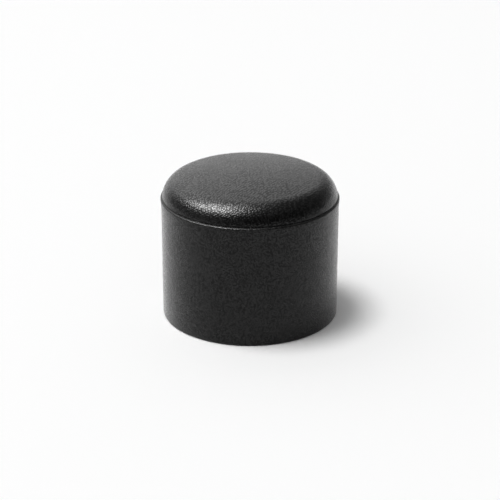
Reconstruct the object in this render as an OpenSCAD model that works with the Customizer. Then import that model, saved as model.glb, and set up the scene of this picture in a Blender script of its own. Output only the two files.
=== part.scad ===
// Push-on cap for the end of a round tube chair leg, moulded in one soft piece.
// It stands on its open mouth with the crowned closed end up.
// The origin is the centre of the mouth, on the plane that the rim of the mouth stands on.

/* [Leg socket] */
// Outside diameter of the round leg, which the socket grips line to line
leg_d = 25; // [16:0.5:40]
// Depth of the socket's floor below the parting line
floor_drop = 1; // [0.5:0.1:6]
// Radius of the corner between the socket's wall and its floor
floor_fillet = 1; // [0.2:0.1:3]
// Lead-in chamfer at the mouth of the socket
lead_in = 0.6; // [0.2:0.1:1]

/* [Side wall] */
// Thickness of the side wall
wall_t = 2.5; // [1.8:0.1:5]
// Height of the side wall, from the mouth to the parting line
wall_h = 20.95; // [14:0.05:30]
// Radius of the outer edge of the mouth
foot_r = 0.3; // [0.1:0.05:0.6]
// How far the top edge of the wall stands proud of the wall
rim_proud = 0.11; // [0.02:0.01:0.3]
// Height over which the wall swells out to its top edge
rim_swell_h = 1.6; // [0.8:0.1:4]
// Radius of the top edge of the wall
rim_r = 0.22; // [0.05:0.01:0.4]

/* [Parting line] */
// Width of the groove that the parting line leaves above the wall
groove_w = 0.25; // [0.1:0.05:0.5]
// Depth of that groove, from the foot of the crowned end inwards
groove_d = 0.3; // [0.1:0.05:0.6]

/* [Crowned end] */
// How far the side of the shoulder stands back from the wall
shoulder_inset = 0.14; // [0.02:0.01:0.5]
// Radius of the shoulder round the closed end
shoulder_r = 3.9; // [2.5:0.1:6]
// Depth of the shoulder's centre below the parting line
shoulder_drop = 0.3; // [0.1:0.05:1.5]
// Radius of the crown across the closed end
crown_r = 70; // [40:1:200]

/* [Hidden] */

// Facets of a full turn, and steps along each arc of the section
$fn = 120;
crown_steps = 8;
shoulder_steps = 22;
edge_steps = 6;

// Socket
bore_r = leg_d / 2;
socket_depth = wall_h - floor_drop;
floor_corner = [bore_r - floor_fillet, socket_depth - floor_fillet];

// Side wall
wall_r = bore_r + wall_t;
mouth_edge = [wall_r - foot_r, foot_r];
rim_edge = [wall_r + rim_proud - rim_r, wall_h - rim_r];

// Shoulder: its arc ends at the foot of the crowned end, on top of the parting line's groove
shoulder_c = [wall_r - shoulder_inset - shoulder_r, wall_h - shoulder_drop];
foot_angle = asin((shoulder_drop + groove_w) / shoulder_r);
dome_foot_r = shoulder_c.x + shoulder_r * cos(foot_angle);

// Parting line: a groove between the wall's top edge and the foot of the crowned end
groove_root = [dome_foot_r - groove_d, wall_h + groove_w / 2];

// Crown: its arc is centred on the axis and touches the shoulder from inside
crown_dist = crown_r - shoulder_r;
crown_angle = acos(shoulder_c.x / crown_dist);
crown_c = [0, shoulder_c.y - crown_dist * sin(crown_angle)];

// Points along an arc, without its first point, where the line before it ends
function arc(centre, radius, from, to, steps) = [
    for (i = [1:steps])
        let (a = from + (to - from) * i / steps)
        centre + radius * [cos(a), sin(a)]
];

// Half section, from the top of the crown down the outside and back up the socket to its floor
section = concat(
    [[0, crown_c.y + crown_r]],
    arc(crown_c, crown_r, 90, crown_angle, crown_steps),
    arc(shoulder_c, shoulder_r, crown_angle, foot_angle, shoulder_steps),
    [groove_root, [rim_edge.x, wall_h]],
    arc(rim_edge, rim_r, 90, 0, edge_steps),
    [[wall_r, wall_h - rim_swell_h], [wall_r, mouth_edge.y]],
    arc(mouth_edge, foot_r, 0, -90, edge_steps),
    [[bore_r + lead_in, 0], [bore_r, lead_in], [bore_r, floor_corner.y]],
    arc(floor_corner, floor_fillet, 0, 90, edge_steps),
    [[0, socket_depth]]
);

module leg_cap() {
    color("#2b2b2b")
    rotate_extrude()
    polygon(section);
}

leg_cap();
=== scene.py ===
"""Looks of a push-on chair leg cap: one moulded piece of grained black rubber on a white studio floor."""

import math

import bpy
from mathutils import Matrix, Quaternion, Vector


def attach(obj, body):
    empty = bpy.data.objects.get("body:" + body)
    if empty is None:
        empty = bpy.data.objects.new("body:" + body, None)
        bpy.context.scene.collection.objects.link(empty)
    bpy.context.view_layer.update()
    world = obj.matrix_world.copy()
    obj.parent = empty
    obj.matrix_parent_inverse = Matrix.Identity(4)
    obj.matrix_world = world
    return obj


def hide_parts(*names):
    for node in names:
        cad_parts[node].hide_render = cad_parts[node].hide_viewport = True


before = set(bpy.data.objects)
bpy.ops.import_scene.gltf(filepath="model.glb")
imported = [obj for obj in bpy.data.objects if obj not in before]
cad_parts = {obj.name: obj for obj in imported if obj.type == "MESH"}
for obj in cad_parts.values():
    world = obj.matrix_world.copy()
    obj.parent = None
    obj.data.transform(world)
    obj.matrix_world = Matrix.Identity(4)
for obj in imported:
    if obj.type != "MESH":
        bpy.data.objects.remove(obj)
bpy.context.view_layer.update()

MM = 0.001
UP = (0, 0, 1)
WHITE = (1, 1, 1, 1)

# Camera, as the photograph is taken: it looks at a point on the cap's axis from an angle above the floor.
# The lens is a focal length in millimetres.
AIM_HEIGHT = 10.96 * MM
CAMERA_DISTANCE = 281.5 * MM
CAMERA_ELEVATION = math.radians(22.97)
CAMERA_LENS = 118.5

# Floor: half the side of a square sheet of paper, and its colour
FLOOR_HALF = 4.0
FLOOR_COLOUR = (0.99, 0.99, 0.99, 1)

# Light of the room: a direction points from the cap to a light, and a level of 1 is white.
# An edge gives the two cosines to the direction between which the first level becomes the second.
# The fill lights whatever is matt. The rest of the room is what the gloss shows.
FILL_FROM = (-0.9, 0.13, 0.3)
FILL_EDGE = (-1.0, 1.0)
FILL_LEVELS = (0.0, 0.8)
# Glow of the backdrop behind the cap
GLOW_FROM = (-0.28, 0.77, 0.574)
GLOW_EDGE = (0.7, 0.965)
GLOW_LEVELS = (0.0, 1.55)
# Pale ceiling, with a halo round the softbox that fades out at its foot
CEILING_EDGE = (0.6, 1.0)
CEILING_LEVELS = (0.01, 0.55)
HALO_FROM = (-0.63, 0.11, 0.77)
HALO_EDGE = (0.6, 0.95)
HALO_LEVELS = (0.0, 3.2)
HALO_FOOT_EDGE = (0.42, 0.6)
HALO_FOOT_SHARES = (0.0, 1.0)
# White horizon, where the floor ends
HORIZON_EDGE = (0.06, 0.02)
HORIZON_LEVELS = (0.0, 1.0)

# Lamps: a spread gives the angles that a lamp is wide and high, seen from the cap
LAMP_DISTANCE = 3.0
OVERHEAD_FROM = (-0.25, 0.0, 0.97)
OVERHEAD_SPREAD = (math.radians(20), math.radians(20))
OVERHEAD_ROLL = 0
OVERHEAD_LEVEL = 0.527
SOFTBOX_FROM = (-0.53, -0.13, 0.838)
SOFTBOX_SPREAD = (math.radians(43), math.radians(25))
SOFTBOX_ROLL = math.radians(30)
SOFTBOX_LEVEL = 2.1

# Mesh of the cap: two points this close are one, a section that turns by less than one angle is straight,
# and an edge that turns by more than the other is sharp
CAP_NODE = "leg_cap"
CAP_SEGMENTS = 360
SAME_POINT = 0.002 * MM
STRAIGHT = math.radians(0.2)
SHARP = math.radians(30)

# Grain of the rubber: pebbles in uneven rows, finer on the wall than on the crowned end.
# Two distances from a pebble's centre, in cells, give where its top ends and where the valley starts.
WALL_CELL = 0.26 * MM
CROWN_CELL = 0.35 * MM
WALL_RANDOMNESS = 0.9
CROWN_RANDOMNESS = 0.62
PEBBLE_TURN = (math.radians(20), math.radians(30), math.radians(40))
PEBBLE_REACH = (0.22, 0.66)
GRAIN_DEPTH = 0.02 * MM
# Waves that the pebbles ride on
WAVE_SIZE = 0.7 * MM
WAVE_DEPTH = 0.02 * MM
WAVE_DETAIL = 2
# Within a first distance from the parting line only a share of the grain's depth is left,
# and the wall's grain becomes the crowned end's. From a second distance on the depth is whole.
SMOOTH_EDGE = (0.12 * MM, 0.3 * MM)
EDGE_GRAIN_SHARE = 0.8

# Gloss of the rubber: tops glossier than valleys, whose lower specular level is painted shade, deepest in
# the crown's valleys.
# The shoulder becomes the crown between two heights above the parting line.
RUBBER_IOR = 1.38
TOP_ROUGHNESS = 0.16
VALLEY_ROUGHNESS = 0.3
TOP_SPECULAR = 0.5
WALL_VALLEY_SPECULAR = 0.22
SHOULDER_VALLEY_SPECULAR = 0.17
CROWN_VALLEY_SPECULAR = 0.15
CROWN_FOOT = (2.4 * MM, 3.6 * MM)
# Broad patches that are a little duller or glossier than the rest
PATCH_SIZE = 6 * MM
PATCH_DETAIL = 3
PATCH_CONTRAST = (0.35, 0.65)
PATCH_ROUGHNESS = 0.04

# Colour of the rubber under the gloss, painted darker in the grain's valleys as painted shade, and the
# soft sheen on it
SHEEN = 0.37
SHEEN_ROUGHNESS = 0.35
PAINTED_VALLEY_SHADE_COLOUR = (0.001, 0.001, 0.001, 1)
TOP_COLOUR = (0.008, 0.008, 0.008, 1)


def placed(name, data):
    """A new object in the scene."""
    piece = bpy.data.objects.new(name, data)
    bpy.context.scene.collection.objects.link(piece)
    return piece


def rings_of(mesh):
    """Rings that a turned mesh's vertices lie on, as (radius, height) points, and each vertex's ring."""
    points = []
    ring_of = []
    for vertex in mesh.vertices:
        point = Vector((math.hypot(vertex.co.x, vertex.co.y), vertex.co.z))
        known = next((i for i, p in enumerate(points) if (p - point).length < SAME_POINT), None)
        if known is None:
            known = len(points)
            points.append(point)
        ring_of.append(known)
    return points, ring_of


def section_of(node):
    """Half section of a turned CAD node, from its top down the outside to the middle of its inside.

    Each ring of the node is one point, and rings that share an edge are neighbours.
    """
    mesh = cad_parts[node].data
    points, ring_of = rings_of(mesh)
    neighbours = [set() for _ in points]
    for edge in mesh.edges:
        a, b = (ring_of[i] for i in edge.vertices)
        neighbours[a].add(b)
        neighbours[b].add(a)
    here = max(range(len(points)), key=lambda i: points[i].y)
    chain = [here]
    while ahead := neighbours[here] - set(chain):
        here = min(ahead, key=lambda i: (points[i] - points[here]).length)
        chain.append(here)
    section = [points[i] for i in chain]
    section.append(Vector((0, section[-1].y)))
    return section


def without_straight_points(section):
    """The section without the points at which it doesn't turn."""
    kept = [section[0]]
    for point, after in zip(section[1:], section[2:]):
        if (point - kept[-1]).angle(after - point) > STRAIGHT:
            kept.append(point)
    return kept + [section[-1]]


def parting_height(section):
    """Height of the groove round the outside.

    It is the first point from the top that lies further in than both of its neighbours.
    """
    for above, point, below in zip(section, section[1:], section[2:]):
        if point.x < above.x and point.x < below.x:
            return point.y


def turned(name, section, segments):
    """A closed mesh turned round the Z axis from a half section whose two ends lie on the axis."""
    verts = []
    rings = []
    for radius, height in section:
        turns = segments if radius > SAME_POINT else 1
        rings.append([len(verts) + i for i in range(turns)])
        for i in range(turns):
            angle = math.tau * i / segments
            verts.append((radius * math.cos(angle), radius * math.sin(angle), height))
    faces = []
    for upper, lower in zip(rings, rings[1:]):
        for i in range(segments):
            j = (i + 1) % segments
            corners = [upper[i % len(upper)], lower[i % len(lower)]]
            corners += [lower[j % len(lower)], upper[j % len(upper)]]
            faces.append(list(dict.fromkeys(corners)))
    mesh = bpy.data.meshes.new(name)
    mesh.from_pydata(verts, [], faces)
    mesh.polygons.foreach_set("use_smooth", [True] * len(faces))
    mesh.set_sharp_from_angle(angle=SHARP)
    return placed(name, mesh)


def node_tree(owner):
    """A function that adds nodes to a material or world, whose first nodes are cleared away.

    It takes a node's first inputs in order, and other inputs and settings by name.
    An input is given a value, or the output of another node, which is linked to it.
    """
    owner.use_nodes = True
    tree = owner.node_tree
    tree.nodes.clear()

    def add(kind, *first_inputs, **named):
        node = tree.nodes.new(kind)
        inputs = dict(enumerate(first_inputs))
        for name, value in named.items():
            if hasattr(node, name):
                setattr(node, name, value)
            else:
                inputs[name.replace("_", " ")] = value
        for key, value in inputs.items():
            if isinstance(value, bpy.types.NodeSocket):
                tree.links.new(value, node.inputs[key])
            else:
                node.inputs[key].default_value = value
        return node

    return add


def calculated(add, operation, *numbers):
    """The result of a mathematical operation on numbers or on outputs of nodes."""
    return add("ShaderNodeMath", *numbers, operation=operation).outputs["Value"]


def carried(add, value, span, low, high, **settings):
    """A value carried over from a span to the range from low to high, and held at its ends."""
    node = add(
        "ShaderNodeMapRange",
        Value=value,
        From_Min=span[0],
        From_Max=span[1],
        To_Min=low,
        To_Max=high,
        **settings,
    )
    return node.outputs["Result"]


def noise(add, place, size, detail):
    """Soft random values in spots of about one size."""
    return add("ShaderNodeTexNoise", Vector=place, Scale=1 / size, Detail=detail).outputs["Fac"]


def by_side(add, above_edge, on_wall, on_crown):
    """One value on the wall and another on the crowned end, which blend at the parting line."""
    edge = SMOOTH_EDGE[0]
    return carried(add, above_edge, (-edge, edge), on_wall, on_crown)


def pebble_tops(add, place, above_edge):
    """The grain's pebbles: 1 on their tops and 0 in the valleys."""
    rows = add("ShaderNodeMapping", Vector=place, Rotation=PEBBLE_TURN).outputs["Vector"]
    scale = by_side(add, above_edge, 1 / WALL_CELL, 1 / CROWN_CELL)
    randomness = by_side(add, above_edge, WALL_RANDOMNESS, CROWN_RANDOMNESS)
    pebbles = add("ShaderNodeTexVoronoi", Vector=rows, Scale=scale, Randomness=randomness, feature="F1")
    return carried(add, pebbles.outputs["Distance"], PEBBLE_REACH, 1, 0, interpolation_type="SMOOTHSTEP")


def grained_normal(add, place, above_edge, tops):
    """Relief of the pebbles and of the waves under them, fainter along the parting line."""
    from_edge = calculated(add, "ABSOLUTE", above_edge)
    strength = carried(add, from_edge, SMOOTH_EDGE, EDGE_GRAIN_SHARE, 1)
    pebbled = add("ShaderNodeBump", Strength=strength, Distance=GRAIN_DEPTH, Height=tops).outputs["Normal"]
    waves = noise(add, place, WAVE_SIZE, WAVE_DETAIL)
    waved = add("ShaderNodeBump", Strength=strength, Distance=WAVE_DEPTH, Height=waves, Normal=pebbled)
    return waved.outputs["Normal"]


def uneven_roughness(add, place, tops):
    """Roughness of tops and valleys, with broad patches that differ a little."""
    fine = carried(add, tops, (0, 1), VALLEY_ROUGHNESS, TOP_ROUGHNESS)
    patches = noise(add, place, PATCH_SIZE, PATCH_DETAIL)
    broad = carried(add, patches, PATCH_CONTRAST, -PATCH_ROUGHNESS, PATCH_ROUGHNESS)
    return calculated(add, "ADD", fine, broad)


def specular_with_painted_valley_shade(add, above_edge, tops):
    """Specular level of tops and valleys, lowered in the valleys as painted shade that differs between
    wall, shoulder and crown.
    """
    near_edge = by_side(add, above_edge, WALL_VALLEY_SPECULAR, SHOULDER_VALLEY_SPECULAR)
    valley = carried(add, above_edge, CROWN_FOOT, near_edge, CROWN_VALLEY_SPECULAR)
    return carried(add, tops, (0, 1), valley, TOP_SPECULAR)


def rubber(edge_height):
    """Black rubber with a moulded grain, on a wall and a crowned end that meet at one height."""
    material = bpy.data.materials.new("grained_black_rubber")
    add = node_tree(material)
    place = add("ShaderNodeTexCoord").outputs["Object"]
    height = add("ShaderNodeSeparateXYZ", Vector=place).outputs["Z"]
    above_edge = calculated(add, "SUBTRACT", height, edge_height)
    tops = pebble_tops(add, place, above_edge)

    # Base colour from the valleys up to the pebble tops: the darker valleys are painted shade
    tone_with_painted_valley_shade = add("ShaderNodeValToRGB", Fac=tops)
    tone_with_painted_valley_shade.color_ramp.elements[0].color = PAINTED_VALLEY_SHADE_COLOUR
    tone_with_painted_valley_shade.color_ramp.elements[1].color = TOP_COLOUR

    shader = add(
        "ShaderNodeBsdfPrincipled",
        Base_Color=tone_with_painted_valley_shade.outputs["Color"],
        Roughness=uneven_roughness(add, place, tops),
        IOR=RUBBER_IOR,
        Normal=grained_normal(add, place, above_edge, tops),
        # Specular level lowered in the grain's valleys: painted shade
        Specular_IOR_Level=specular_with_painted_valley_shade(add, above_edge, tops),
        Sheen_Weight=SHEEN,
        Sheen_Roughness=SHEEN_ROUGHNESS,
    )
    add("ShaderNodeOutputMaterial", Surface=shader.outputs["BSDF"])
    return material


def white_paper():
    """Matt white paper."""
    material = bpy.data.materials.new("white_paper")
    add = node_tree(material)
    shader = add("ShaderNodeBsdfDiffuse", Color=FLOOR_COLOUR)
    add("ShaderNodeOutputMaterial", Surface=shader.outputs["BSDF"])
    return material


def make_cap():
    """The cap's own section, turned finely enough to shade as one smooth moulding."""
    section = without_straight_points(section_of(CAP_NODE))
    cap = turned("cap", section, CAP_SEGMENTS)
    cap.data.materials.append(rubber(parting_height(section)))
    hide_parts(CAP_NODE)
    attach(cap, "root")


def make_floor():
    """A plain white floor, wide enough to fill the view."""
    mesh = bpy.data.meshes.new("floor")
    corners = [(-FLOOR_HALF, -FLOOR_HALF, 0), (FLOOR_HALF, -FLOOR_HALF, 0)]
    corners += [(x, -y, z) for x, y, z in reversed(corners)]
    mesh.from_pydata(corners, [], [(0, 1, 2, 3)])
    mesh.materials.append(white_paper())
    floor = placed("floor", mesh)


def light_room():
    """The world: a fill for what is matt, the room that the gloss shows, and white to the camera."""
    world = bpy.data.worlds.new("studio")
    bpy.context.scene.world = world
    add = node_tree(world)
    direction = add("ShaderNodeTexCoord").outputs["Generated"]

    def light_from(towards, edge, levels):
        axis = Vector(towards).normalized()
        along = add("ShaderNodeVectorMath", direction, axis, operation="DOT_PRODUCT").outputs["Value"]
        return carried(add, along, edge, *levels)

    fill = light_from(FILL_FROM, FILL_EDGE, FILL_LEVELS)
    glow = light_from(GLOW_FROM, GLOW_EDGE, GLOW_LEVELS)
    ceiling = light_from(UP, CEILING_EDGE, CEILING_LEVELS)
    halo_share = light_from(UP, HALO_FOOT_EDGE, HALO_FOOT_SHARES)
    halo = calculated(add, "MULTIPLY", light_from(HALO_FROM, HALO_EDGE, HALO_LEVELS), halo_share)
    horizon = light_from(UP, HORIZON_EDGE, HORIZON_LEVELS)
    above = calculated(add, "ADD", glow, calculated(add, "ADD", ceiling, halo))
    room = calculated(add, "MAXIMUM", above, horizon)

    ray = add("ShaderNodeLightPath").outputs
    mirrored = calculated(add, "MAXIMUM", ray["Is Glossy Ray"], ray["Is Transmission Ray"])
    level = add("ShaderNodeMix", data_type="FLOAT", Factor=mirrored, A=fill, B=room).outputs["Result"]
    white_to_camera = calculated(add, "MAXIMUM", level, ray["Is Camera Ray"])
    background = add("ShaderNodeBackground", Color=WHITE, Strength=white_to_camera)
    add("ShaderNodeOutputWorld", Surface=background.outputs["Background"])


def lamp(name, direction, spread, roll, level):
    """An oval lamp that looks at the cap from one direction, rolled round that direction by an angle.

    Its energy is what it takes to light a white floor at the cap to the level.
    """
    data = bpy.data.lights.new(name, "AREA")
    data.shape = "ELLIPSE"
    data.size, data.size_y = (2 * LAMP_DISTANCE * math.tan(angle / 2) for angle in spread)
    towards = Vector(direction).normalized()
    data.energy = level * (math.pi * LAMP_DISTANCE) ** 2 / towards.z
    piece = placed(name, data)
    piece.location = towards * LAMP_DISTANCE
    facing = towards.to_track_quat("Z", "Y")
    piece.rotation_euler = (facing @ Quaternion(UP, roll)).to_euler()
    return piece


def place_lamps():
    """A lamp overhead that casts the shadow, and a softbox that shows only in the gloss."""
    lamp("overhead", OVERHEAD_FROM, OVERHEAD_SPREAD, OVERHEAD_ROLL, OVERHEAD_LEVEL)
    softbox = lamp("softbox", SOFTBOX_FROM, SOFTBOX_SPREAD, SOFTBOX_ROLL, SOFTBOX_LEVEL)
    softbox.visible_diffuse = False


def place_camera():
    """A long lens at the photograph's angle above the floor."""
    data = bpy.data.cameras.new("camera")
    data.lens = CAMERA_LENS
    camera = placed("camera", data)
    back = Vector((0, -math.cos(CAMERA_ELEVATION), math.sin(CAMERA_ELEVATION)))
    camera.location = Vector((0, 0, AIM_HEIGHT)) + back * CAMERA_DISTANCE
    camera.rotation_euler = back.to_track_quat("Z", "Y").to_euler()
    bpy.context.scene.camera = camera


place_camera()
make_floor()
light_room()
place_lamps()
make_cap()
bpy.context.scene.view_settings.view_transform = "Standard"
